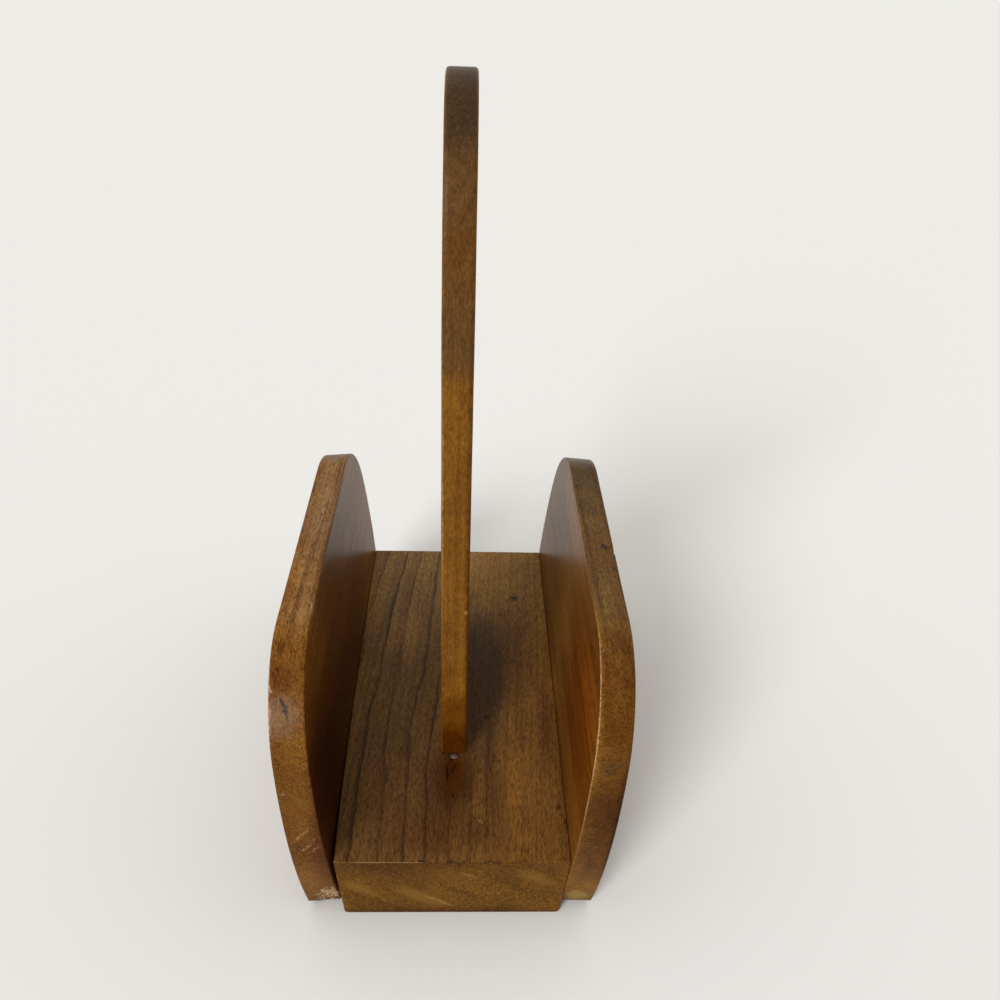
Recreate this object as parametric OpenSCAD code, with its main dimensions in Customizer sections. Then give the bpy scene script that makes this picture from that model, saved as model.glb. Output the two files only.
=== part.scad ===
// Wooden napkin holder: a solid base block between two leaning side panels, with a tall
// arched divider standing on the block. Napkins stand in the two slots.
//
// Origin: middle of the foot, on the table. +Z is up, -Y is the front, +X the right side.
// The panels are doweled and glued to the block's leaning sides, the divider to its top.

/* [Base block] */
// Width of the block's top, between the side panels
block_w = 70; // [56:1:90]
// Length of the block, front to back
block_l = 153; // [130:1:190]
// Thickness of the block
block_h = 24; // [18:0.5:32]
// Lean of the block's sides, which the side panels follow, in degrees
lean = 5; // [0:0.2:10]
// Bevel along the block's long lower edges
block_bevel = 1.4; // [0.4:0.2:3]

/* [Side panels] */
// Thickness of a side panel
panel_t = 10; // [8:0.5:14]
// Length of a side panel where it is widest
panel_l = 156; // [130:1:200]
// Height of a side panel, measured up its face
panel_h = 86.8; // [72:0.2:110]
// Height of its widest place, measured up its face
panel_wide_at = 32.5; // [20:0.5:45]
// Radius of its bulging front and rear edges
panel_edge_r = 113; // [90:1:160]
// Radius of its two upper corners
panel_corner_r = 34; // [20:0.5:42]

/* [Divider] */
// Thickness of the divider
divider_t = 8.2; // [7:0.2:12]
// Length of the divider's foot, front to back
divider_l = 72; // [60:0.5:100]
// Height of the divider above the block
divider_h = 200; // [150:0.5:240]
// Height of the arch that ends it
divider_arch_h = 64; // [54:1:90]
// Radius of the arch's crown
divider_crown_r = 24; // [16:1:28]

/* [Dowels] */
// Diameter of the dowels that hold the side panels
side_dowel_d = 6; // [4:0.5:8]
// Depth of their holes in the block
side_dowel_depth = 14; // [8:1:18]
// Wood left between their holes and the panel's outer face
side_dowel_skin = 3; // [2:0.5:4]
// Distance from the block's ends to these dowels
side_dowel_inset = 32; // [15:1:50]
// Diameter of the dowels under the divider
foot_dowel_d = 4; // [3:0.5:5]
// Depth of their holes in the block, and again in the divider
foot_dowel_depth = 12; // [8:1:15]
// Distance from the divider's front and rear edges to these dowels
foot_dowel_inset = 16; // [8:1:24]
// Glue clearance all round a dowel
glue_gap = 0.05; // [0.02:0.01:0.1]
// Room for glue past each end of a dowel
glue_well = 0.4; // [0.2:0.1:0.8]

/* [Hidden] */
$fn = 180;
arc_steps = 24;      // straight stretches in each arc of an outline
meet_step = 1;       // angle between the end of one arc and the start of the next, in degrees

block_color = [0.46, 0.30, 0.15];
panel_color = [0.56, 0.34, 0.15];
divider_color = [0.60, 0.38, 0.14];
dowel_color = [0.80, 0.65, 0.42];

left = -1;
right = 1;
front = -1;
rear = 1;

foot_w = block_w - 2 * block_h * tan(lean);  // width of the block at the table
side_dowel_up = block_h / 2 / cos(lean);     // height of the side dowels, up the face
side_dowel_y = block_l / 2 - side_dowel_inset;
panel_hole_depth = panel_t - side_dowel_skin;
foot_dowel_y = divider_l / 2 - foot_dowel_inset;

// ---- outlines ----

// Points along an arc about the point at, from one angle to another
function arc(at, r, from, to) = [
    for (i = [0 : arc_steps])
        let (angle = from + (to - from) * i / arc_steps)
            at + r * [cos(angle), sin(angle)]
];

// The same points across the middle line, in the order that carries an outline on
function mirrored(points) = [
    for (i = [len(points) - 1 : -1 : 0]) [-points[i][0], points[i][1]]
];

// Side panel: bulging ends that run smoothly into round upper corners and a flat top
module panel_outline() {
    edge_at = [panel_l / 2 - panel_edge_r, panel_wide_at];
    rise = panel_h - panel_corner_r - panel_wide_at;
    meet = asin(rise / (panel_edge_r - panel_corner_r));
    corner_at = edge_at + (panel_edge_r - panel_corner_r) * [cos(meet), sin(meet)];
    foot = -asin(panel_wide_at / panel_edge_r);
    half = concat(
        arc(edge_at, panel_edge_r, foot, meet),
        arc(corner_at, panel_corner_r, meet + meet_step, 90)
    );
    polygon(concat(half, mirrored(half)));
}

// Divider: straight edges below, then a tall arch of two side arcs and a crown
module divider_outline() {
    half_l = divider_l / 2;
    straight_h = divider_h - divider_arch_h;
    rise = divider_arch_h - divider_crown_r;
    arch_r = (pow(half_l, 2) - pow(divider_crown_r, 2) + pow(rise, 2))
        / (2 * (half_l - divider_crown_r));
    meet = asin(rise / (arch_r - divider_crown_r));
    half = concat(
        [[half_l, 0]],
        arc([half_l - arch_r, straight_h], arch_r, 0, meet),
        arc([0, straight_h + rise], divider_crown_r, meet + meet_step, 90 - meet_step)
    );
    polygon(concat(half, mirrored(half)));
}

// The block seen from the front: wider at the top, bevelled at the table
module block_section() {
    half_foot = foot_w / 2;
    half_top = block_w / 2;
    bevel_out = half_foot + block_bevel * tan(lean);
    polygon([
        [half_foot - block_bevel, 0], [bevel_out, block_bevel], [half_top, block_h],
        [-half_top, block_h], [-bevel_out, block_bevel], [block_bevel - half_foot, 0]
    ]);
}

// ---- places ----

// Right side's own frame: X out through the panel, Y to the rear, Z up the leaning face
module on_side(side) {
    mirror([side == left ? 1 : 0, 0, 0])
        translate([foot_w / 2, 0, 0]) rotate([0, lean, 0]) children();
}

// A board drawn upright in U and V, standing across X
module board(thickness) {
    rotate([90, 0, 90]) linear_extrude(thickness) children();
}

// ---- dowels and their holes ----

// Round bar across the joint between the block and a panel, wider by gap all round and
// longer by extra at each end: a dowel with neither, its hole with both
module side_pin(end, gap, extra) {
    depth_in = side_dowel_depth - glue_well + extra;
    depth_out = panel_hole_depth - glue_well + extra;
    translate([-depth_in, end * side_dowel_y, side_dowel_up])
        rotate([0, 90, 0]) cylinder(h = depth_in + depth_out, d = side_dowel_d + 2 * gap);
}

// The same across the joint between the block and the divider
module foot_pin(end, gap, extra) {
    depth = foot_dowel_depth - glue_well + extra;
    translate([0, end * foot_dowel_y, block_h - depth])
        cylinder(h = 2 * depth, d = foot_dowel_d + 2 * gap);
}

module side_holes() {
    for (end = [front, rear]) side_pin(end, glue_gap, glue_well);
}

module foot_holes() {
    for (end = [front, rear]) foot_pin(end, glue_gap, glue_well);
}

// ---- pieces ----

module base_block() {
    color(block_color) difference() {
        rotate([90, 0, 0]) linear_extrude(block_l, center = true) block_section();
        for (side = [left, right]) on_side(side) side_holes();
        foot_holes();
    }
}

module side_panel(side) {
    color(panel_color) difference() {
        on_side(side) difference() {
            board(panel_t) panel_outline();
            side_holes();
        }
        // the foot is cut flat, to stand on the table
        translate([-block_w, -panel_l, -panel_t]) cube([2 * block_w, 2 * panel_l, panel_t]);
    }
}

module divider() {
    color(divider_color) difference() {
        translate([-divider_t / 2, 0, block_h]) board(divider_t) divider_outline();
        foot_holes();
    }
}

module side_dowel(side, end) {
    color(dowel_color) on_side(side) side_pin(end, 0, 0);
}

module foot_dowel(end) {
    color(dowel_color) foot_pin(end, 0, 0);
}

base_block();
side_panel(left);  // left_panel
side_panel(right);  // right_panel
divider();
side_dowel(left, front);  // left_front_dowel
side_dowel(left, rear);  // left_rear_dowel
side_dowel(right, front);  // right_front_dowel
side_dowel(right, rear);  // right_rear_dowel
foot_dowel(front);  // divider_front_dowel
foot_dowel(rear);  // divider_rear_dowel
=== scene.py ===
from math import asin, atan, cos, degrees, pi, radians, sin, tan

import bmesh
import bpy
from mathutils import Euler, Matrix, Vector, noise


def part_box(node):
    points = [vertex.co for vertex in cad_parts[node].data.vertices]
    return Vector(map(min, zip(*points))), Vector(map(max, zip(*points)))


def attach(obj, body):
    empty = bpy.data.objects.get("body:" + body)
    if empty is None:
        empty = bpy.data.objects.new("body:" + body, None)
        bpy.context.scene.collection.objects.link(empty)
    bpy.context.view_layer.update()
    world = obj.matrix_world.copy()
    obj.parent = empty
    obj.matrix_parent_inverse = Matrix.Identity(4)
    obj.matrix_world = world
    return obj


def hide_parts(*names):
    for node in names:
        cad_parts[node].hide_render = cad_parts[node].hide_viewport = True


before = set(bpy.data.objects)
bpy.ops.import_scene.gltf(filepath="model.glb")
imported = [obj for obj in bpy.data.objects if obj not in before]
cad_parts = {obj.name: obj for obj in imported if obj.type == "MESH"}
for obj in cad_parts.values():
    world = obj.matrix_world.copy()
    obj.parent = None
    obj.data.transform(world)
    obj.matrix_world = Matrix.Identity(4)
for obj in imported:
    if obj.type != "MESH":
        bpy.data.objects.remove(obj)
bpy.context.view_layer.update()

# ---------------------------------------------------------------------------
# Sizes, in metres. The holder stands on z = 0, its front at -y and its left side at -x.
# ---------------------------------------------------------------------------
MM = 0.001
LEFT, RIGHT = -1, 1

block_low, block_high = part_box("base_block")
panel_low, panel_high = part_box("right_panel")
divider_low, divider_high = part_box("divider")

BLOCK_W = block_high.x - block_low.x
BLOCK_L = block_high.y - block_low.y
BLOCK_H = block_high.z
FOOT_W = 2 * panel_low.x                    # width of the block where it stands
LEAN = atan((BLOCK_W - FOOT_W) / 2 / BLOCK_H)
PANEL_L = panel_high.y - panel_low.y
PANEL_H = panel_high.z / cos(LEAN)          # measured up the panel's face
PANEL_T = (panel_high.x - panel_low.x - PANEL_H * sin(LEAN)) / cos(LEAN)
PANEL_WIDE_AT = 32.5 * MM                   # height of its widest place, up its face
PANEL_EDGE_R = 113 * MM                     # radius of its bulging ends
PANEL_CORNER_R = 34 * MM                    # radius of its upper corners
DIVIDER_T = divider_high.x - divider_low.x
DIVIDER_L = divider_high.y - divider_low.y
DIVIDER_H = divider_high.z - BLOCK_H
DIVIDER_ARCH_H = 64 * MM                    # height of the arch that ends it
DIVIDER_CROWN_R = 24 * MM                   # radius of the arch's crown

BLOCK_ARRIS = 0.35 * MM                     # radii to which the arrises are rounded
PANEL_OUTER_ARRIS = 0.6 * MM
PANEL_INNER_ARRIS = 0.55 * MM
DIVIDER_ARRIS = 1 * MM
BLOCK_FOOT_ROUND = 1.1 * MM
PANEL_FOOT_ROUND = 2.8 * MM
SANDED = 0.08 * MM                          # depth to which hand sanding wanders
SANDED_PATCH = 13 * MM                      # width of the hollows that it leaves
LEFT_JOINT_GAP = 1 * MM                     # where the glued joint has opened, at the front
BEAD_R = 1 * MM                             # the bead of glue, before it is flattened
BEAD_LUMP = 0.8 * MM                        # width of its lumps
PORE_DEPTH = 0.05 * MM

OUTLINE_STEP = 1.5 * MM                     # length of an outline's straight stretches
FOOT_STEP = 4 * MM                          # longer ones where a panel's foot is rounded
BOARD_STEP = 3 * MM                         # width of the squares that flat faces are cut into
THICKNESS_STEPS = 5                         # stretches that a board's thickness is cut into
ARRIS_STEPS = 3                             # stretches round an arris
FOOT_ROUND_STEPS = 4                        # and round the bigger ones at the foot
DENT_STEPS = 4                              # extra cuts in each edge that a dent reaches
BROAD_FACES_LEAD = 80                       # out of 100, so that they are shaded flat
HAIR = 0.01 * MM                            # nothing is as thin as this
TOUCHING = 1e-6                             # points as close as this are one point
SHARP = radians(35)                         # an arris turns by more than this
FLOOR_REACH = 6                             # from the middle of the floor to its sides

PHOTO_SIDE = 1000                           # pixels
PHOTO_FOCAL = 925.2                         # pixels
FILM = 36                                   # width of the film that goes with the lens
CAMERA_AT = Vector((1.68, -244.58, 257.55)) * MM
CAMERA_YAW, CAMERA_PITCH, CAMERA_ROLL = radians(-2.761), radians(32.801), radians(2.39)
CAMERA_NEAR, CAMERA_FAR = 0.01, 50
SUN_STRENGTH = 2.4
SUN_WIDTH = radians(24)                     # wide, for soft shadows
SUN_TO_LEFT, SUN_HEIGHT = radians(32), radians(30)     # from the front, and from the floor
SKY_COLOUR = (1, 0.975, 0.91)
SKY_LEAST, SKY_MOST = 0.2, 0.95             # its strength low in front, and high behind


# ---------------------------------------------------------------------------
# Nodes, written as Python expressions
# ---------------------------------------------------------------------------
class Field:
    """A number that varies over a surface, written with plain operators."""

    def __init__(self, shading, socket):
        self.shading = shading
        self.socket = socket

    def _maths(self, operation, *values):
        settings = {"operation": operation}
        return self.shading.field("ShaderNodeMath", settings, dict(enumerate(values)))

    def __add__(self, other):
        return self._maths("ADD", self, other)

    def __sub__(self, other):
        return self._maths("SUBTRACT", self, other)

    def __rsub__(self, other):
        return self._maths("SUBTRACT", other, self)

    def __mul__(self, other):
        return self._maths("MULTIPLY", self, other)

    def __truediv__(self, other):
        return self._maths("DIVIDE", self, other)

    def __rtruediv__(self, other):
        return self._maths("DIVIDE", other, self)

    def __pow__(self, other):
        return self._maths("POWER", self, other)

    def __rpow__(self, other):
        return self._maths("POWER", other, self)

    __radd__ = __add__
    __rmul__ = __mul__

    def fraction(self):
        return self._maths("FRACT", self)

    def whole(self):
        return self._maths("FLOOR", self)

    def ramp(self, low, high, least=0, most=1):
        """From least at low to most at high, smoothly; low may be the higher of the two."""
        settings = {"interpolation_type": "SMOOTHSTEP"}
        values = {"Value": self, "From Min": low, "From Max": high, "To Min": least,
                  "To Max": most}
        return self.shading.field("ShaderNodeMapRange", settings, values)


class Shading:
    """The nodes of one material, or of the sky."""

    def __init__(self, tree):
        self.nodes = tree.nodes
        self.links = tree.links

    def feed(self, socket, value):
        """Links a field or a socket to a socket, or sets the socket to a plain value."""
        if isinstance(value, Field):
            value = value.socket
        if isinstance(value, bpy.types.NodeSocket):
            self.links.new(value, socket)
        elif socket.type == "RGBA" and len(value) == 3:
            socket.default_value = (*value, 1)
        else:
            socket.default_value = value

    def node(self, kind, settings, values):
        made = self.nodes.new(kind)
        for name, setting in settings.items():
            setattr(made, name, setting)
        for name, value in values.items():
            self.feed(made.inputs[name], value)
        return made

    def field(self, kind, settings, values, output=0):
        return Field(self, self.node(kind, settings, values).outputs[output])

    def mix(self, share, first, second, blend="MIX"):
        """Colour: first where share is 0, second where it is 1."""
        settings = {"data_type": "RGBA", "blend_type": blend}
        return self.node("ShaderNodeMix", settings, {0: share, 6: first, 7: second}).outputs[2]

    def vector(self, operation, first, second):
        settings = {"operation": operation}
        return self.node("ShaderNodeVectorMath", settings, {0: first, 1: second}).outputs[0]

    def length(self, vector):
        return self.field("ShaderNodeVectorMath", {"operation": "LENGTH"}, {0: vector}, 1)

    def along(self, vector, direction):
        """How far a vector reaches in a direction."""
        values = {0: vector, 1: direction}
        return self.field("ShaderNodeVectorMath", {"operation": "DOT_PRODUCT"}, values, 1)

    def parts(self, vector):
        """Its x, y and z."""
        split = self.node("ShaderNodeSeparateXYZ", {}, {0: vector})
        return [Field(self, socket) for socket in split.outputs]

    def turned(self, place, centre, turn):
        """The place as seen from a frame at centre, turned by angles in degrees."""
        values = {"Vector": place, "Location": centre, "Rotation": [radians(a) for a in turn]}
        return self.node("ShaderNodeMapping", {"vector_type": "TEXTURE"}, values).outputs[0]

    def stretched(self, place, x, y, z):
        return self.vector("MULTIPLY", place, (x, y, z))

    def noise(self, place, scale, detail=2, roughness=0.5):
        values = {"Vector": place, "Scale": scale, "Detail": detail, "Roughness": roughness}
        return self.field("ShaderNodeTexNoise", {}, values)

    def chance(self, number):
        """A steady random number for each whole number."""
        return self.field("ShaderNodeTexWhiteNoise", {"noise_dimensions": "1D"}, {"W": number})

    def wander(self, place, scale, reach):
        """The place, moved about at random by up to about a quarter of reach."""
        values = {"Vector": place, "Scale": scale, "Detail": 3, "Roughness": 0.45}
        moved = self.node("ShaderNodeTexNoise", {}, values).outputs["Color"]
        push = self.vector("SUBTRACT", moved, (0.5, 0.5, 0.5))
        return self.vector("ADD", place, self.stretched(push, reach, reach, reach))

    def spot(self, place, centre, reach, turn=(0, 0, 0), soft=1):
        """1 inside and 0 outside a turned ellipsoid with these half sizes, in millimetres."""
        away = self.turned(place, [at * MM for at in centre], turn)
        away = self.stretched(away, *[1 / (size * MM) for size in reach])
        return self.length(away).ramp(1, 1 - soft)


# ---------------------------------------------------------------------------
# Camera and light
# ---------------------------------------------------------------------------
def place_camera():
    camera = bpy.data.cameras.new("camera")
    camera.sensor_width = FILM
    camera.lens = PHOTO_FOCAL / PHOTO_SIDE * FILM
    camera.clip_start = CAMERA_NEAR
    camera.clip_end = CAMERA_FAR
    holder = bpy.data.objects.new("camera", camera)
    turn = (Matrix.Rotation(CAMERA_YAW, 4, "Z") @ Matrix.Rotation(pi / 2 - CAMERA_PITCH, 4, "X")
            @ Matrix.Rotation(CAMERA_ROLL, 4, "Z"))
    holder.matrix_world = Matrix.Translation(CAMERA_AT) @ turn
    bpy.context.collection.objects.link(holder)
    bpy.context.scene.camera = holder
    bpy.context.scene.view_settings.view_transform = "Standard"


def hang_key_light():
    sun = bpy.data.lights.new("key_light", "SUN")
    sun.energy = SUN_STRENGTH
    sun.angle = SUN_WIDTH
    holder = bpy.data.objects.new("key_light", sun)
    towards_sun = Vector((-sin(SUN_TO_LEFT) * cos(SUN_HEIGHT),
                          -cos(SUN_TO_LEFT) * cos(SUN_HEIGHT), sin(SUN_HEIGHT)))
    holder.rotation_euler = (-towards_sun).to_track_quat("-Z", "Y").to_euler()
    bpy.context.collection.objects.link(holder)


def light_sky():
    world = bpy.data.worlds.new("studio")
    bpy.context.scene.world = world
    world.use_nodes = True
    sky = Shading(world.node_tree)
    direction = sky.node("ShaderNodeTexCoord", {}, {}).outputs["Generated"]
    up_and_back = sky.along(direction, (0, 0.7, 0.7))
    background = sky.nodes["Background"].inputs
    sky.feed(background["Color"], SKY_COLOUR)
    sky.feed(background["Strength"], up_and_back.ramp(-0.6, 0.9, SKY_LEAST, SKY_MOST))


# ---------------------------------------------------------------------------
# Finishes. Places and sizes of marks are in millimetres.
# ---------------------------------------------------------------------------
class Finish(Shading):
    """A material in the making, with one principled shader."""

    def __init__(self, name):
        self.material = bpy.data.materials.new(name)
        self.material.use_nodes = True
        super().__init__(self.material.node_tree)
        coordinates = self.node("ShaderNodeTexCoord", {}, {})
        self.place = coordinates.outputs["Object"]
        self.facing = coordinates.outputs["Normal"]

    def set(self, **values):
        for name, value in values.items():
            self.feed(self.nodes["Principled BSDF"].inputs[name.replace("_", " ")], value)

    def bump(self, height, depth):
        bumped = self.node("ShaderNodeBump", {}, {"Height": height, "Distance": depth})
        self.set(Normal=bumped.outputs[0])


class Wood(Finish):
    """Varnished hardwood, solid all through. Growth rings run about the pith, which follows the
    turned frame's y axis, as do the fibres and pores. Where a face cuts across them it shows
    end grain. The direction across points out of a board's broad faces. The colours are pale,
    mid and dark wood, and the paler colour of arrises from use, which also serves as a painted
    highlight; line, end and fleck multiply the colour in the late wood, on end grain and in the
    short dark flecks."""

    def __init__(self, name, colours, pith, turn, ring, across, first=0, lines=0.5, streaks=0.6,
                 flecked=0.6):
        super().__init__(name)
        self.colours = colours
        fibres = Euler([radians(angle) for angle in turn]).to_matrix() @ Vector((0, 1, 0))
        self.end = self.along(self.facing, fibres) ** 2
        self.flat = self.along(self.facing, across) ** 2
        self.narrow = 1 - self.flat
        self.arris = self.flat * self.narrow * 4
        self.ragged = self.wander(self.place, 420, 3.5 * MM)    # gives marks ragged outlines
        self.steady = self.wander(self.place, 260, 1.2 * MM)    # and scratches smoother ones
        self.grit = self.noise(self.place, 1300, 3, 0.65)

        local = self.turned(self.place, [MM * at for at in pith], turn)
        self.clouds = self.noise(self.stretched(local, 1, 0.35, 1), 45, 4, 0.6)
        self.threads = self.noise(self.stretched(local, 620, 11, 620), 1, 5, 0.65)
        self.flecks = self.noise(self.stretched(local, 2200, 460, 2200), 1, 2, 0.7)
        self.late = self.late_wood(self.stretched(local, 1, 0.3, 1), ring * MM, first)
        self.colour_grain(lines, streaks, flecked)

    def late_wood(self, local, ring, first):
        """The dark end of each year's growth, bolder in some years and faint in places."""
        swayed = self.wander(self.wander(local, 32, 11 * MM), 330, 1.6 * MM)
        rings = self.length(self.stretched(swayed, 1, 0, 1)) / ring + first
        year = rings.fraction()
        bold = self.chance(rings.whole()) * 0.45 + 0.55
        kept = self.noise(local, 55, 1).ramp(0.3, 0.55) * 0.5 + 0.5
        fine = self.threads.ramp(0.3, 0.5) * 0.3 + 0.7
        late = (year ** 3 * 0.35 + year.ramp(0.76, 0.93) * 0.65) * year.ramp(1, 0.95)
        return late * bold * kept * fine

    def colour_grain(self, lines, streaks, flecked):
        pale_or_mid = self.clouds.ramp(0.36, 0.64)
        streaky = self.threads.ramp(0.4, 0.7) * (1 - self.end * 0.7) * streaks
        tone = self.mix(pale_or_mid, self.colours["pale"], self.colours["mid"])
        self.tone = self.mix(streaky, tone, self.colours["dark"])
        self.tint(self.late * (1 - self.end * 0.6) * lines, self.colours["line"])
        self.tint(self.flecks.ramp(0.48, 0.68) * flecked, self.colours["fleck"])
        self.tint(self.flecks.ramp(0.48, 0.3) * flecked, (1.35, 1.4, 1.5))
        self.tint(self.end, self.colours["end"])

    def tint(self, mask, colour):
        """Multiplies the colour under a mask by another."""
        self.tone = self.mix(mask, self.tone, colour, "MULTIPLY")

    def shade(self, centre, reach, colour, share=1, soft=1):
        """Multiplies the colour round a place by another, with a soft edge."""
        self.tint(self.spot(self.ragged, centre, reach, soft=soft) * share, colour)

    def lay(self, spot, colour, share, broken):
        """Lays a share of a colour over a spot. The more broken, the more grit eats into it."""
        patch = spot + (self.grit - 0.5) * (2 * broken)
        self.tone = self.mix(patch.ramp(0.2, 0.7) * spot.ramp(0, 0.4) * share, self.tone, colour)

    def stain(self, centre, reach, colour, share=1, broken=0.6):
        self.lay(self.spot(self.ragged, centre, reach), colour, share, broken)

    def stroke(self, start, end, width, colour, share=1, broken=0.4):
        """A scratch or a streak from one place to another."""
        start, end = Vector(start), Vector(end)
        turn = [degrees(a) for a in (end - start).to_track_quat("Z", "Y").to_euler()]
        reach = (width, width, (end - start).length / 2)
        self.lay(self.spot(self.steady, (start + end) / 2, reach, turn), colour, share, broken)

    def mottle(self, colour, size):
        """Darkens the narrow faces in ragged patches about as wide as size."""
        patches = self.noise(self.ragged, 1 / (size * MM), 3, 0.6).ramp(0.4, 0.65)
        self.tint(patches * self.narrow, colour)

    def wear_and_highlight(self, centre, reach, share=1):
        """Rubs the arrises round a place down to paler wood; on the divider's left arris this
        paler colour is a painted highlight.
        """
        patchy = self.grit.ramp(0.38, 0.6) * 0.75 + 0.25
        mask = self.spot(self.ragged, centre, reach) * self.arris.ramp(0.2, 0.8) * patchy
        self.tone = self.mix(mask * share, self.tone, self.colours["worn_and_highlight"])

    def varnished(self, shine=0.07):
        self.set(Base_Color=self.tone, Roughness=self.flecks * 0.12 + self.end * 0.1 + 0.25,
                 Specular_IOR_Level=shine)
        self.bump(self.flecks * 0.5 + self.threads, PORE_DEPTH)
        return self.material


def shade_block_top(wood, top):
    """Bands of tone along the upper face: greyer to the left; paler behind, which is painted
    light and sheen; darker in front, partly darker wood and partly painted shade; and a painted
    shadow beside the divider.
    """
    to_left = wood.parts(wood.ragged)[0].ramp(16 * MM, -6 * MM) * wood.flat
    wood.tint(wood.late * to_left, (0.22, 0.2, 0.21))
    wood.tint(to_left, (1.15, 1.35, 2.1))
    for x, y, reach, colour in [
        # paler and greyer behind, more so on the right: painted light and sheen
        (0, 60, (60, 60, 20), (1.4, 1.6, 1.9)),
        (26, 60, (26, 50, 20), (1.2, 1.3, 1.5)),
        # darker in front: partly darker wood and partly painted shade
        (-14, -58, (38, 50, 8), (0.6, 0.5, 0.42)),
        # darker on the right towards the front
        (26, -24, (16, 34, 8), (0.82, 0.8, 0.8)),
        # paler: painted light over part of the divider's cast shadow
        (28, 26, (11, 26, 9), (1.15, 1.15, 1.15)),
        # other bands of tone
        (-17, 22, (14, 20, 8), (1.35, 1.35, 1.35)),
        (8, -66, (6, 9, 5), (0.68, 0.64, 0.7)),
        (12.5, -48, (3.5, 34, 4), (0.62, 0.56, 0.6)),
        (20, -52, (3, 40, 4), (1.2, 1.15, 0.9)),
        (31, -20, (4, 30, 4), (0.8, 0.7, 0.75)),
    ]:
        wood.shade((x, y, top), reach, colour)
    # a painted shadow of the divider, beside it
    wood.shade((10, -2, top), (9, 46, 9), (0.6, 0.64, 0.95), soft=0.4)
    # darker in the middle at the front
    wood.shade((-4, -67, top), (15, 16, 5), (0.7, 0.58, 0.5))


def mark_divider_foot(wood, top):
    """The dark stain in front of the divider, with three cracks in it."""
    wood.shade((0, -45, top), (13, 22, 7), (0.24, 0.11, 0.04))
    wood.stain((0, -45, top), (8, 13, 4), (0.075, 0.022, 0.002), 0.6, 0.5)
    for start, end, width in [((-2.5, -37.5, top), (-1.5, -50, top), 0.9),
                              ((2, -37.5, top), (-1.5, -46, top), 0.6),
                              ((-1.5, -48, top), (1.5, -56, top), 0.5)]:
        wood.stroke(start, end, width, (0.015, 0.005, 0.002), 0.9, 0.5)


def mark_block_top(wood, top, front):
    """A short dark mark, a dark dot, two red-brown specks, a scratch and the chipped arris."""
    wood.stain((22.9, 44.5, top), (3, 2.4, 2), (0.03, 0.016, 0.007), 0.9, 0.4)
    wood.stain((10.9, -19.7, top), (1.2, 1.2, 2), (0.012, 0.006, 0.004), 0.9, 0.1)
    wood.stain((32.9, -56.4, top), (1.6, 2.2, 2), (0.04, 0.008, 0.004), 0.8, 0.3)
    wood.stain((34.6, -62, top), (1, 2.2, 2), (0.04, 0.008, 0.004), 0.8, 0.3)
    wood.stroke((6.5, -60.5, top), (10.5, -63.5, top), 0.5, (0.22, 0.14, 0.06), 0.7)
    wood.stain((-9, front, top), (8, 0.9, 0.7), (0.015, 0.008, 0.005), 0.9, 0.9)
    wood.stain((6, front, top), (26, 1, 0.9), (0.03, 0.012, 0.004), 0.7, 1.6)


def mark_block_front(wood, top, front):
    """Soft slanting streaks in the end grain, two scratches, grit and a darker foot, which is
    painted contact shade.
    """
    pale, dark = (0.235, 0.122, 0.020), (0.066, 0.024, 0.003)
    for (x, z), (end_x, end_z), width, colour in [
        ((-20, 15), (2, 1), 4, pale),
        ((16, 22), (34, 12), 4, pale),
        ((-34, 17), (-18, 6), 3, pale),
        ((-8, 17), (14, 3), 2.5, dark),
        ((4, 22), (30, 6), 2.5, dark),
        ((-32, 22), (-8, 18), 2, dark),
        ((-30, 8), (-12, 2), 2, dark),
        ((18, 10), (34, 3), 2, dark),
    ]:
        wood.stroke((x, front, z), (end_x, front, end_z), width, colour, 0.5, 2.5)
    wood.stroke((-12, front, 11), (4, front, 1), 0.6, (0.36, 0.24, 0.08), 0.4, 3)
    wood.stroke((1, front, 20), (9, front, 16.5), 0.6, (0.30, 0.20, 0.08), 0.4, 3)
    wood.tint(wood.grit.ramp(0.48, 0.62) * wood.end * 0.6, (0.66, 0.6, 0.55))
    wood.tint(wood.grit.ramp(0.47, 0.36) * wood.end * 0.6, (1.4, 1.42, 1.4))
    # painted contact shade along the foot
    wood.shade((0, front, 0), (60, 5, 4), (0.55, 0.4, 0.4))
    wood.wear_and_highlight((-20, front - 0.5, top), (18, 4, 4), 0.6)


def finish_block():
    colours = dict(pale=(0.228, 0.101, 0.017), mid=(0.160, 0.068, 0.012),
                   dark=(0.105, 0.041, 0.008), worn_and_highlight=(0.42, 0.26, 0.12),
                   line=(0.3, 0.27, 0.28), end=(0.64, 0.62, 0.27), fleck=(0.48, 0.42, 0.38))
    wood = Wood("block_wood", colours, pith=(-90, 0, -50), turn=(0, 0, -3.1), ring=5,
                across=(0, 0, 1), first=0.37, lines=0.25, streaks=0.7, flecked=0.9)
    top, front = BLOCK_H / MM, -BLOCK_L / 2 / MM
    shade_block_top(wood, top)
    mark_divider_foot(wood, top)
    mark_block_top(wood, top, front)
    mark_block_front(wood, top, front)
    return wood.varnished()


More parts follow.
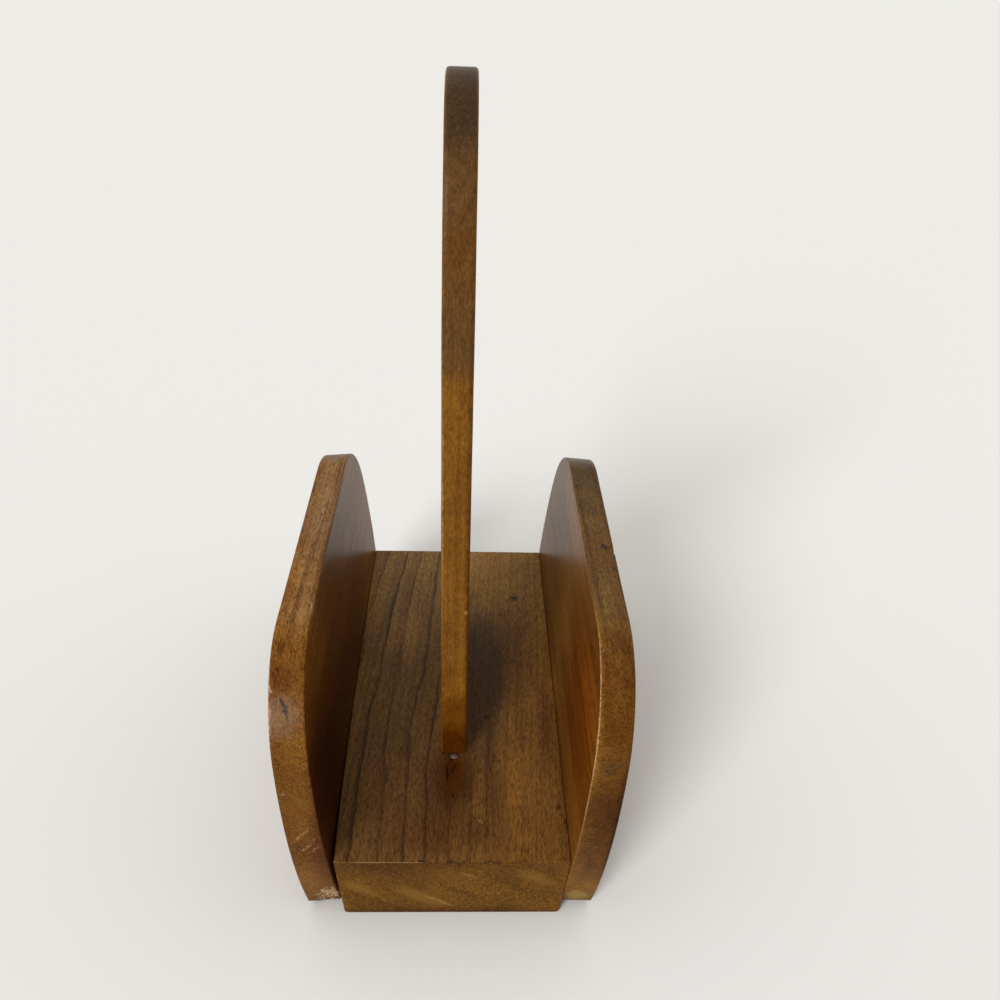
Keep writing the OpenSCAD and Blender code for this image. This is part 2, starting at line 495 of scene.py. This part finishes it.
def mark_left_panel(wood):
    """Paler and greyer along its upper edge, partly paler from use and partly painted sheen, and
    in painted shade inside, with a bruise on the bulge and painted sheen round it, scratches
    below it, a splintered inner corner at the foot and an outer arris paler from use."""
    for centre, reach, colour, share in [
        # paler and greyer along the top edge: partly paler from use, partly painted sheen
        ((-44, 10, 88), (9, 75, 9), (1.2, 1.65, 4.8), 1),
        # darker inside: painted shade on the inner face, deepest low down and towards the front
        ((-36, -10, 45), (6, 90, 60), (0.6, 0.45, 0.4), 1),
        ((-36, -55, 38), (7, 60, 50), (0.38, 0.22, 0.3), 1),
        ((-38, -66, 48), (9, 42, 50), (0.3, 0.12, 0.15), wood.flat),
        # paler along the front half of the top edge
        ((-44, -40, 86), (9, 14, 10), (1.2, 1.35, 1.9), 1),
        ((-46, -22, 88), (9, 26, 9), (1.3, 1.3, 1.15), wood.narrow),
        ((-46, -60, 81), (8, 7, 7), (0.62, 0.5, 0.48), 1),
        # paler and greyer round the bruise: partly a scuff and partly painted sheen
        ((-46, -67, 74), (7, 10, 11), (0.95, 1.1, 2.2), 1),
    ]:
        wood.shade(centre, reach, colour, share)

    # the bruise, and the dark cuts in it
    wood.stain((-46, -67.5, 73.5), (8, 9, 11), (0.24, 0.145, 0.10), 0.2, 1.2)
    wood.stain((-49.5, -69, 72), (1.6, 9, 11), (0.45, 0.26, 0.18), 0.4, 1.3)
    for start, end, width in [((-46.8, -63, 78), (-44.2, -67.2, 74.2), 0.9),
                              ((-45.4, -63.6, 77.6), (-43, -70, 70.6), 1),
                              ((-46.6, -66.4, 75), (-43.7, -66.8, 74.6), 0.7)]:
        wood.stroke(start, end, width, (0.025, 0.02, 0.03), 0.9, 0.7)

    # the pale scratches
    for start, end in [((-46, -78, 33), (-37, -77.6, 43)), ((-44.5, -78, 28), (-36, -77.8, 39)),
                       ((-40, -78, 30), (-36, -78, 35)), ((-47, -76, 52), (-44, -76.2, 54))]:
        wood.stroke(start, end, 0.8, (0.34, 0.20, 0.09), 0.4, 3.5)

    # the splintered corner, the nick in the inner arris and the outer arris, paler from use
    wood.stain((-36, -75, 5.5), (5, 5, 8), (0.30, 0.18, 0.07), 0.5, 1.8)
    wood.stain((-36, -75, 5.5), (5.5, 6, 9), (0.56, 0.42, 0.24), 0.6, 4)
    wood.stain((-41.2, -37, 86.4), (0.5, 2.2, 0.9), (0.42, 0.32, 0.22), 0.9, 0.2)
    wood.wear_and_highlight((-50, -64, 75), (4, 15, 15))


def mark_right_panel(wood, across):
    """Painted light inside: a painted sheen along the top and a painted glow near the front, on
    wood made darker and more orange, partly with painted shade; olive on its edge, with its outer
    arris darkened by painted shade, an inner arris paler from use with a painted highlight beside
    it, a chip at the top and a cluster of small dark pits."""
    wood.tint(wood.narrow, (0.83, 0.8, 0.62))
    for centre, reach, colour, share in [
        # a painted sheen along the top of the inner face
        ((38, 10, 84), (6, 80, 16), (1.6, 1.5, 1.3), wood.flat),
        # paler and greyer along the top edge: partly paler from use, partly painted sheen
        ((44, 10, 88), (9, 75, 9), (1.15, 1.5, 2.6), 1),
        # other tones along the edge and at the foot
        ((46, 44, 86), (9, 60, 12), (0.5, 0.55, 0.45), 1),
        ((46, -32, 86), (10, 22, 8), (1.15, 1.4, 2.4), 1),
        ((46, -64, 74), (10, 16, 20), (0.95, 0.9, 0.6), 1),
        ((46, -78, 40), (14, 12, 32), (0.5, 0.4, 0.1), 1),
        ((38, -77, 8), (14, 12, 16), (1.3, 1.4, 0.3), 1),
        # darker and more orange inside: partly the wood's own colour, partly painted shade near
        # the joint
        ((38, -50, 50), (7, 60, 38), (0.8, 0.45, 0.06), wood.flat),
        # a painted glow of light near the front arris
        ((39, -46, 68), (4, 34, 18), (1.5, 1.25, 0.8), wood.flat),
        # paler along the front of the top edge
        ((44, -42, 86), (9, 24, 10), (1.3, 1.45, 1.3), wood.narrow),
    ]:
        wood.shade(centre, reach, colour, share)

    # the outer arris in painted shade, darkest near the foot
    leaning = (0, degrees(LEAN), 0)
    for centre, reach, colour in [((47.4, -75, 47), (2.8, 12, 44), (0.45, 0.32, 0.25)),
                                  ((46.4, -76, 34), (2.2, 12, 30), (0.3, 0.15, 0.08))]:
        wood.tint(wood.spot(wood.ragged, centre, reach, leaning), colour)

    # the edge beside the inner arris, paler: partly from use and partly a painted highlight
    from_inner_face = wood.along(wood.place, across) - FOOT_W / 2 * cos(LEAN)
    beside_arris = from_inner_face.ramp(1.8 * MM, 0.2 * MM) * wood.narrow
    rubbed_and_highlight = wood.spot(wood.ragged, (40, -54, 70), (10, 38, 34), soft=0.6)
    wood.tint(rubbed_and_highlight * beside_arris * (wood.grit.ramp(0.35, 0.6) * 0.6 + 0.4), (1.7, 2, 2))
    wood.shade((45, -62, 77.5), (4, 13, 13), (1.2, 1.3, 1.8))

    # the chip by the outer arris, and the pits
    wood.stain((47.6, -5, 86), (2.2, 2.6, 1.6), (0.03, 0.012, 0.006), 0.95, 0.2)
    wood.stain((48.6, -5, 86), (3.6, 1.6, 1.6), (0.05, 0.02, 0.01), 0.8, 0.4)
    for x, z in ((41.2, 63), (43.4, 62.4), (41.8, 60.8), (44.6, 60.6), (43, 59.6)):
        wood.stain((x, -74, z), (0.8, 2, 0.8), (0.035, 0.014, 0.004), 0.9, 0.3)
    wood.stain((43, -74, 61.5), (5, 3, 4), (0.06, 0.03, 0.008), 0.5, 1.4)

    # a pale nick, the pale foot and the inner arris, paler from use
    wood.stain((41.2, -52.4, 84.6), (1, 1.4, 1.2), (0.55, 0.38, 0.22), 0.8, 0.1)
    wood.stain((38, -75.5, 6), (6, 5, 7), (0.34, 0.24, 0.05), 0.4, 0.6)
    wood.wear_and_highlight((39.5, -58, 58), (8, 40, 60))


def finish_panel(name, side):
    colours = dict(pale=(0.235, 0.098, 0.014), mid=(0.165, 0.064, 0.009),
                   dark=(0.090, 0.030, 0.003), worn_and_highlight=(0.58, 0.34, 0.20),
                   line=(0.5, 0.4, 0.35), end=(0.92, 0.96, 1.05), fleck=(0.42, 0.36, 0.32))
    across = (side * cos(LEAN), 0, -sin(LEAN))
    wood = Wood(name, colours, pith=(side * 85, 0, 20), turn=(0, 0, side), ring=2.4,
                across=across, lines=0.35, streaks=0.85, flecked=0.85)
    wood.mottle((0.82, 0.75, 0.72), 14)
    wood.mottle((0.8, 0.78, 0.78), 0.7)
    if side == LEFT:
        mark_left_panel(wood)
        return wood.varnished(shine=0.055)
    mark_right_panel(wood, across)
    return wood.varnished(shine=0.085)


def finish_divider():
    colours = dict(pale=(0.250, 0.104, 0.010), mid=(0.200, 0.080, 0.008),
                   dark=(0.125, 0.046, 0.005), worn_and_highlight=(0.45, 0.27, 0.10),
                   line=(0.6, 0.5, 0.45), end=(0.8, 0.8, 0.8), fleck=(0.65, 0.6, 0.5))
    wood = Wood("divider_wood", colours, pith=(30, -60, 0), turn=(90, 0, 0), ring=2.4,
                across=(1, 0, 0), lines=0.1, streaks=0.7, flecked=0.75)
    wood.mottle((0.84, 0.8, 0.72), 9)
    wood.mottle((0.84, 0.82, 0.8), 0.8)

    # its narrow face grows greyer and darker above the shoulder and at the crown, which is a
    # painted reflection, and darker towards the foot
    height = wood.parts(wood.ragged)[2]
    for start, end, colour in [(154, 163, (0.6, 0.7, 1.9)), (205, 214, (0.55, 0.6, 0.9)),
                               (50, 28, (0.42, 0.26, 0.1))]:
        wood.tint(height.ramp(start * MM, end * MM) * wood.narrow, colour)
    for centre, reach, colour, share in [
        ((0, -26, 188), (10, 20, 14), (0.92, 0.76, 0.42), 1),
        ((0, -36, 45), (9, 6, 8), (0.68, 0.52, 0.4), wood.narrow),
        ((0, -36, 36), (9, 6, 9), (0.85, 0.8, 0.8), wood.narrow),
        # the right arris, which faces away from the light: painted shade
        ((4.2, -30, 120), (1.6, 40, 130), (0.45, 0.38, 0.35), wood.narrow),
    ]:
        wood.shade(centre, reach, colour, share)

    # the pale nick in its right arris, and a painted highlight along the left one
    wood.stain((3.5, -36, 83.6), (1, 1.2, 1.4), (0.36, 0.25, 0.06), 0.6, 0.1)
    wood.wear_and_highlight((-4, -36, 120), (1.5, 8, 60), 0.6)
    return wood.varnished()


def finish_glue():
    glue = Finish("old_glue")
    grain = glue.noise(glue.place, 2500, 3)
    glue.set(Base_Color=glue.mix(grain.ramp(0.4, 0.6), (0.07, 0.038, 0.024), (0.16, 0.10, 0.07)),
             Roughness=grain * 0.2 + 0.3)
    return glue.material


def finish_dowel():
    colours = dict(pale=(0.62, 0.44, 0.24), mid=(0.55, 0.38, 0.20), dark=(0.45, 0.30, 0.15),
                   line=(0.7, 0.6, 0.5), end=(0.9, 0.85, 0.8), fleck=(0.8, 0.75, 0.7))
    wood = Wood("dowel_wood", colours, pith=(10, 20, 10), turn=(0, 0, 90), ring=1.5,
                across=(0, 0, 1))
    wood.set(Base_Color=wood.tone, Roughness=wood.flecks * 0.1 + 0.6)
    return wood.material


def finish_floor():
    floor = Finish("floor")
    floor.set(Base_Color=(0.745, 0.745, 0.745), Roughness=0.7)
    return floor.material


# ---------------------------------------------------------------------------
# Boards. An outline is drawn in the y-z plane and drawn out along +x.
# ---------------------------------------------------------------------------
def draw_arc(bm, end, centre, angle, step):
    """Carries the outline on from the vertex end, round the centre, and returns the new end."""
    steps = max(2, round(abs(angle) * (end.co - centre).length / step))
    swept = bmesh.ops.spin(bm, geom=[end], cent=centre, axis=(1, 0, 0), angle=angle, steps=steps)
    return next(part for part in swept["geom_last"] if isinstance(part, bmesh.types.BMVert))


def close_outline(bm):
    """Mirrors a half outline that starts at the foot and ends at the top, and fills it."""
    bmesh.ops.remove_doubles(bm, verts=bm.verts, dist=TOUCHING)
    bmesh.ops.mirror(bm, geom=bm.verts[:] + bm.edges[:], axis="Y", merge_dist=TOUCHING)
    bmesh.ops.remove_doubles(bm, verts=bm.verts, dist=TOUCHING)
    loose = sorted((v for v in bm.verts if len(v.link_edges) == 1), key=lambda v: v.co.z)
    for pair in [loose[i:i + 2] for i in range(0, len(loose), 2)]:
        bm.edges.new(pair)
    bmesh.ops.edgeloop_fill(bm, edges=bm.edges)


def draw_out(bm, reach):
    """Turns a flat shape into a solid one that reaches this far from it."""
    drawn = bmesh.ops.extrude_face_region(bm, geom=bm.faces[:])
    moved = [part for part in drawn["geom"] if isinstance(part, bmesh.types.BMVert)]
    bmesh.ops.translate(bm, verts=moved, vec=reach)
    bmesh.ops.recalc_face_normals(bm, faces=bm.faces)


def sharp_edges(bm, where=lambda place: True):
    return [e for e in bm.edges if len(e.link_faces) == 2 and e.calc_face_angle() > SHARP
            and all(where(v.co) for v in e.verts)]


def round_arrises(bm, edges, radius, steps=ARRIS_STEPS):
    bmesh.ops.bevel(bm, geom=edges, offset=radius, offset_type="OFFSET", segments=steps,
                    profile=0.5, affect="EDGES", material=-1)


def cut_along(bm, normal, places):
    """Cuts the shape's faces along planes, so that they can be worked."""
    for at in places:
        bmesh.ops.bisect_plane(bm, geom=bm.verts[:] + bm.edges[:] + bm.faces[:],
                               plane_co=Vector(normal) * at, plane_no=normal)


def stepped(low, high, step):
    """Places between low and high, about a step apart."""
    count = round((high - low) / step)
    return [low + (high - low) * i / count for i in range(1, count)]


def hand_sand(bm, seed):
    """Takes a little off every point above the foot, more here and less there."""
    bm.normal_update()
    for vert in bm.verts:
        if vert.co.z > MM:
            share = (noise.noise(vert.co / SANDED_PATCH + Vector((seed, 0, 0))) + 1) / 2
            vert.co -= vert.normal * SANDED * share


def knock(bm, centre, reach, push, rough=0, grit=0.5):
    """Leaves a dent: pushes the points round a place, most in its middle, and unevenly where
    it is rough. All in millimetres."""
    centre, reach, push = Vector(centre) * MM, reach * MM, Vector(push) * MM
    near = [e for e in bm.edges if all((v.co - centre).length < 1.4 * reach for v in e.verts)]
    bmesh.ops.subdivide_edges(bm, edges=near, cuts=DENT_STEPS, use_grid_fill=True)
    for vert in bm.verts:
        away = (vert.co - centre).length / reach
        if away < 1:
            share = (1 - away ** 2) ** 2
            vert.co += push * share * (1 + rough * noise.noise(vert.co / (grit * MM)))


def piece(name, bm, finish, node):
    """Makes the finished shape a piece of the holder, in place of a CAD node if it has one."""
    bmesh.ops.recalc_face_normals(bm, faces=bm.faces)
    mesh = bpy.data.meshes.new(name)
    for face in bm.faces:
        face.smooth = True
    bm.to_mesh(mesh)
    bm.free()
    made = bpy.data.objects.new(name, mesh)
    bpy.context.collection.objects.link(made)
    mesh.materials.append(finish)
    weighted = made.modifiers.new("flat_faces_stay_flat", "WEIGHTED_NORMAL")
    weighted.weight = BROAD_FACES_LEAD
    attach(made, "root")
    if node:
        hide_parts(node)


# ---------------------------------------------------------------------------
# Pieces
# ---------------------------------------------------------------------------
def panel_blank():
    """A side panel lying in its own frame: inner face at x = 0, foot at z = 0."""
    bm = bmesh.new()
    edge_at = Vector((0, PANEL_L / 2 - PANEL_EDGE_R, PANEL_WIDE_AT))
    reach = PANEL_EDGE_R - PANEL_CORNER_R
    meet = asin((PANEL_H - PANEL_CORNER_R - PANEL_WIDE_AT) / reach)
    corner_at = edge_at + Vector((0, cos(meet), sin(meet))) * reach
    foot = -asin(PANEL_WIDE_AT / PANEL_EDGE_R)
    start = bm.verts.new(edge_at + Vector((0, cos(foot), sin(foot))) * PANEL_EDGE_R)
    near_foot = 2 * FOOT_STEP / PANEL_EDGE_R
    end = draw_arc(bm, start, edge_at, near_foot, FOOT_STEP)
    end = draw_arc(bm, end, edge_at, meet - foot - near_foot, OUTLINE_STEP)
    draw_arc(bm, end, corner_at, pi / 2 - meet, OUTLINE_STEP)
    close_outline(bm)
    draw_out(bm, (PANEL_T, 0, 0))
    return bm


def cut_foot_flat(bm, lean_out):
    """Leans the panel out, cuts its foot flat at z = 0, and lays it back."""
    bmesh.ops.transform(bm, verts=bm.verts, matrix=lean_out)
    bmesh.ops.bisect_plane(bm, geom=bm.verts[:] + bm.edges[:] + bm.faces[:], plane_co=(0, 0, 0),
                           plane_no=(0, 0, -1), clear_outer=True)
    bmesh.ops.remove_doubles(bm, verts=bm.verts, dist=TOUCHING)
    bmesh.ops.holes_fill(bm, edges=bm.edges, sides=0)
    bmesh.ops.transform(bm, verts=bm.verts, matrix=lean_out.inverted())
    bmesh.ops.recalc_face_normals(bm, faces=bm.faces)


def dent_panel(bm, side):
    """The left one's bruise, splintered corner and nick; the right one's chip and two pits."""
    if side == LEFT:
        knock(bm, (-49.8, -62.8, 78.2), 1.6, (0.5, 0.2, -0.2), rough=0.8, grit=1)
        knock(bm, (-34.6, -75, 4), 6, (-0.3, 1.1, 0.4), rough=0.9, grit=0.8)
        knock(bm, (-41, -37, 86.5), 1.5, (-0.4, 0, -0.4))
    else:
        knock(bm, (49, -7, 86.2), 2.4, (-0.8, 0, -0.9), rough=0.6)
        knock(bm, (42, -74.2, 62), 1, (0, 0.5, 0))
        knock(bm, (44, -74.6, 59.8), 1, (0, 0.5, 0))


def make_panel(name, side, finish):
    bm = panel_blank()
    lean_out = Matrix.Translation((FOOT_W / 2, 0, 0)) @ Matrix.Rotation(LEAN, 4, "Y")
    cut_foot_flat(bm, lean_out)
    on_foot = sharp_edges(bm, lambda at: abs(at.z - at.x * tan(LEAN)) < HAIR)
    round_arrises(bm, [e for e in on_foot if any(v.co.x > HAIR for v in e.verts)],
                  PANEL_FOOT_ROUND, FOOT_ROUND_STEPS)
    round_arrises(bm, sharp_edges(bm, lambda at: at.x > PANEL_T - HAIR), PANEL_OUTER_ARRIS)
    round_arrises(bm, sharp_edges(bm, lambda at: at.x < HAIR), PANEL_INNER_ARRIS)
    cut_along(bm, (0, 1, 0), stepped(-PANEL_L / 2, PANEL_L / 2, BOARD_STEP))
    cut_along(bm, (0, 0, 1), stepped(0, PANEL_H, BOARD_STEP))
    cut_along(bm, (1, 0, 0), stepped(0, PANEL_T, PANEL_T / THICKNESS_STEPS))
    bmesh.ops.transform(bm, verts=bm.verts, matrix=lean_out)
    if side == LEFT:
        bmesh.ops.scale(bm, verts=bm.verts, vec=(-1, 1, 1))
        bmesh.ops.recalc_face_normals(bm, faces=bm.faces)
    hand_sand(bm, seed=side * 7)
    dent_panel(bm, side)
    piece(name + "_board", bm, finish, name)


def make_divider(finish):
    bm = bmesh.new()
    half = DIVIDER_L / 2
    shoulder = DIVIDER_H - DIVIDER_ARCH_H
    rise = DIVIDER_ARCH_H - DIVIDER_CROWN_R
    arch_r = (half ** 2 - DIVIDER_CROWN_R ** 2 + rise ** 2) / (2 * (half - DIVIDER_CROWN_R))
    meet = asin(rise / (arch_r - DIVIDER_CROWN_R))
    foot, end = bm.verts.new((0, half, 0)), bm.verts.new((0, half, shoulder))
    bm.edges.new((foot, end))
    end = draw_arc(bm, end, Vector((0, half - arch_r, shoulder)), meet, OUTLINE_STEP)
    draw_arc(bm, end, Vector((0, 0, shoulder + rise)), pi / 2 - meet, OUTLINE_STEP)
    close_outline(bm)
    draw_out(bm, (DIVIDER_T, 0, 0))
    bmesh.ops.translate(bm, verts=bm.verts, vec=(-DIVIDER_T / 2, 0, BLOCK_H))
    round_arrises(bm, sharp_edges(bm), DIVIDER_ARRIS)
    cut_along(bm, (0, 1, 0), stepped(-half, half, BOARD_STEP))
    cut_along(bm, (0, 0, 1), stepped(BLOCK_H, BLOCK_H + DIVIDER_H, BOARD_STEP))
    cut_along(bm, (1, 0, 0), stepped(-DIVIDER_T / 2, DIVIDER_T / 2, DIVIDER_T / THICKNESS_STEPS))
    hand_sand(bm, seed=3)
    piece("divider_board", bm, finish, "divider")


def open_left_joint(bm):
    """Shifts the block's left half in, more and more towards the front."""
    for vert in bm.verts:
        if vert.co.x < 0:
            to_front = max(0, -vert.co.y / (BLOCK_L / 2))
            vert.co.x += LEFT_JOINT_GAP * to_front ** 2


def nick_front_arris(bm):
    """Three nicks in the block's upper front arris."""
    for x in (-13, -7.5, -4):
        at = (x, -BLOCK_L / 2 / MM - 0.3, BLOCK_H / MM + 0.3)
        knock(bm, at, 1.6, (0, 0.35, -0.45), rough=1)


def make_block(finish):
    bm = bmesh.new()
    corners = [(FOOT_W / 2, 0), (BLOCK_W / 2, BLOCK_H), (-BLOCK_W / 2, BLOCK_H), (-FOOT_W / 2, 0)]
    bm.faces.new([bm.verts.new((x, -BLOCK_L / 2, z)) for x, z in corners])
    draw_out(bm, (0, BLOCK_L, 0))
    long_foot_edges = [e for e in bm.edges if all(v.co.z < HAIR for v in e.verts)
                       and e.calc_length() > BLOCK_W]
    round_arrises(bm, long_foot_edges, BLOCK_FOOT_ROUND, FOOT_ROUND_STEPS)
    round_arrises(bm, sharp_edges(bm), BLOCK_ARRIS)
    cut_along(bm, (0, 1, 0), stepped(-BLOCK_L / 2, BLOCK_L / 2, BOARD_STEP))
    cut_along(bm, (1, 0, 0), stepped(-BLOCK_W / 2, BLOCK_W / 2, BOARD_STEP))
    cut_along(bm, (0, 0, 1), stepped(0, BLOCK_H, BOARD_STEP))
    open_left_joint(bm)
    hand_sand(bm, seed=5)
    nick_front_arris(bm)
    piece("block_body", bm, finish, "base_block")


def make_glue_bead(finish):
    """The bead of glue that was squeezed out in front of the divider: a lumpy ball, flattened
    on the block."""
    bm = bmesh.new()
    bmesh.ops.create_icosphere(bm, subdivisions=3, radius=BEAD_R)
    for vert in bm.verts:
        vert.co *= 1 + 0.35 * noise.noise(vert.co / BEAD_LUMP)
    at = Vector((0.3 * MM, -DIVIDER_L / 2 - BEAD_R, BLOCK_H + 0.25 * MM))
    flattened = Matrix.Diagonal((1.4, 0.9, 0.45, 1))
    bmesh.ops.transform(bm, verts=bm.verts, matrix=Matrix.Translation(at) @ flattened)
    piece("glue_bead", bm, finish, None)


def lay_floor():
    bm = bmesh.new()
    bmesh.ops.create_grid(bm, x_segments=1, y_segments=1, size=FLOOR_REACH)
    mesh = bpy.data.meshes.new("floor")
    bm.to_mesh(mesh)
    bm.free()
    floor = bpy.data.objects.new("floor", mesh)
    bpy.context.collection.objects.link(floor)
    mesh.materials.append(finish_floor())


def dress_dowels():
    """The dowels keep their CAD shapes, and get bare wood."""
    finish = finish_dowel()
    for name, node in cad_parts.items():
        if name.endswith("_dowel"):
            node.data.materials.clear()
            node.data.materials.append(finish)


place_camera()
hang_key_light()
light_sky()
lay_floor()
make_block(finish_block())
for panel, panel_side in (("left_panel", LEFT), ("right_panel", RIGHT)):
    make_panel(panel, panel_side, finish_panel(panel + "_wood", panel_side))
make_divider(finish_divider())
make_glue_bead(finish_glue())
dress_dowels()
